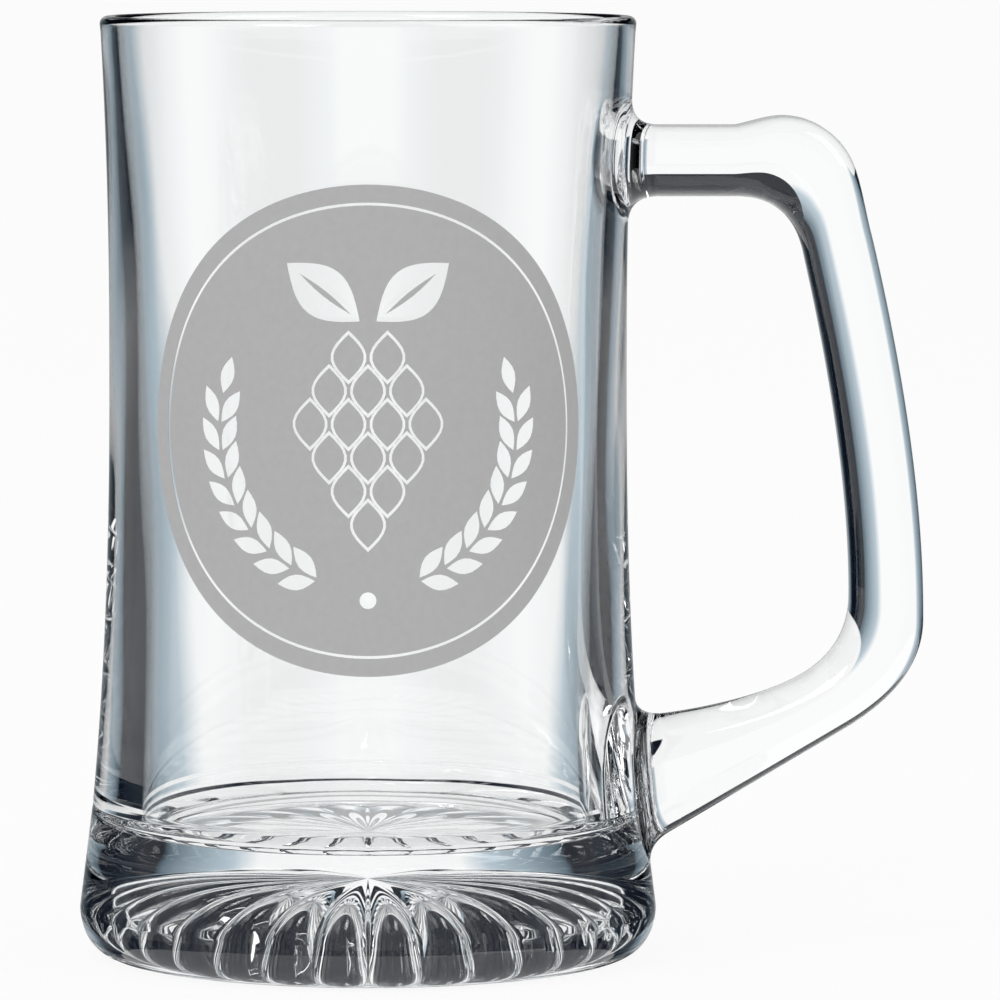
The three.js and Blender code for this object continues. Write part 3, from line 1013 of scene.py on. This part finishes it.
def add_floor(finishes):
    corners = ((-1, -1), (1, -1), (1, 1), (-1, 1))
    points = [(x * FLOOR_SIDE, y * FLOOR_SIDE, -FLOOR_DROP) for x, y in corners]
    floor = add_piece("studio_floor", points, [(0, 1, 2, 3)], [0], [floor_material(finishes.floor)])


def add_world(finishes):
    """Soft light for the pieces, white for the camera, and a dark room for the glass."""
    world = bpy.data.worlds.new("Studio")
    bpy.context.scene.world = world
    world.use_nodes = True
    nodes = world.node_tree.nodes
    links = world.node_tree.links
    soft = nodes["Background"]
    soft.inputs["Color"].default_value = (1.0, 1.0, 1.0, 1.0)
    soft.inputs["Strength"].default_value = SOFT_LIGHT
    room = nodes.new("ShaderNodeBackground")
    room.inputs["Color"].default_value = finishes.dark_room
    white = nodes.new("ShaderNodeBackground")
    white.inputs["Color"].default_value = (1.0, 1.0, 1.0, 1.0)
    through_glass = nodes.new("ShaderNodeMixShader")
    seen = nodes.new("ShaderNodeMixShader")
    links.new(ray_is(nodes, links, ("Is Glossy Ray", "Is Transmission Ray")), through_glass.inputs["Fac"])
    links.new(soft.outputs["Background"], through_glass.inputs[1])
    links.new(room.outputs["Background"], through_glass.inputs[2])
    links.new(ray_is(nodes, links, ("Is Camera Ray",)), seen.inputs["Fac"])
    links.new(through_glass.outputs["Shader"], seen.inputs[1])
    links.new(white.outputs["Background"], seen.inputs[2])
    links.new(seen.outputs["Shader"], nodes["World Output"].inputs["Surface"])


def add_lamp(name, place, size, power):
    lamp = bpy.data.lights.new(name, "AREA")
    lamp.size = size
    lamp.energy = power
    holder = bpy.data.objects.new(name, lamp)
    aim_at(holder, place, LAMP_AIM)


def add_camera():
    camera = bpy.data.cameras.new("Camera")
    camera.sensor_width = 36.0
    camera.lens = CAMERA_LENS
    camera.shift_x = CAMERA_SHIFT
    camera.clip_start = 0.01
    holder = bpy.data.objects.new("Camera", camera)
    aim_at(holder, CAMERA_PLACE, CAMERA_AIM)
    bpy.context.scene.camera = holder


def aim_at(holder, place, aim):
    """Stands a lamp or the camera at a place, turned to what it aims at."""
    holder.location = place
    holder.rotation_euler = (Vector(aim) - Vector(place)).to_track_quat("-Z", "Y").to_euler()
    bpy.context.scene.collection.objects.link(holder)


class MUG_OT_stage(bpy.types.Operator):
    """Builds the pale floor, the soft studio light and the camera"""

    bl_idname = "mug.stage"
    bl_label = "Studio"

    def execute(self, context):
        scene = context.scene
        scene.view_settings.view_transform = "Standard"
        scene.cycles.max_bounces = 32
        scene.cycles.transmission_bounces = 32
        scene.cycles.glossy_bounces = 16
        scene.cycles.transparent_max_bounces = 32
        finishes = scene.mug_finishes
        add_floor(finishes)
        add_cards(finishes)
        add_world(finishes)
        add_lamp("Key lamp", (-0.7, -0.8, 1.1), size=0.6, power=6.0)
        add_lamp("Fill lamp", (0.9, -0.5, 0.9), size=0.8, power=3.0)
        add_camera()
        return {"FINISHED"}


class MUG_PT_panel(bpy.types.Panel):
    """Lists the steps that build the mug"""

    bl_idname = "MUG_PT_panel"
    bl_label = "Glass Beer Mug"
    bl_space_type = "VIEW_3D"
    bl_region_type = "UI"
    bl_category = "Beer Mug"

    def draw(self, context):
        for operator in OPERATORS:
            self.layout.operator(operator.bl_idname)


OPERATORS = (MUG_OT_bowl, MUG_OT_base, MUG_OT_handle, MUG_OT_pads, MUG_OT_medallion, MUG_OT_stage)
GROUPS = {
    "mug_bowl": MugBowlSizes,
    "mug_base": MugBaseSizes,
    "mug_handle": MugHandleSizes,
    "mug_medallion": MugMedallionSizes,
    "mug_finishes": MugFinishes,
}


def register():
    for name, group in GROUPS.items():
        bpy.utils.register_class(group)
        setattr(bpy.types.Scene, name, PointerProperty(type=group))
    for operator in OPERATORS:
        bpy.utils.register_class(operator)
    bpy.utils.register_class(MUG_PT_panel)


def unregister():
    bpy.utils.unregister_class(MUG_PT_panel)
    for operator in reversed(OPERATORS):
        bpy.utils.unregister_class(operator)
    for name, group in reversed(list(GROUPS.items())):
        delattr(bpy.types.Scene, name)
        bpy.utils.unregister_class(group)


def main():
    register()
    bpy.ops.mug.bowl()
    bpy.ops.mug.base()
    bpy.ops.mug.handle()
    bpy.ops.mug.pads()
    bpy.ops.mug.medallion()
    bpy.ops.mug.stage()


if __name__ == "__main__":
    main()
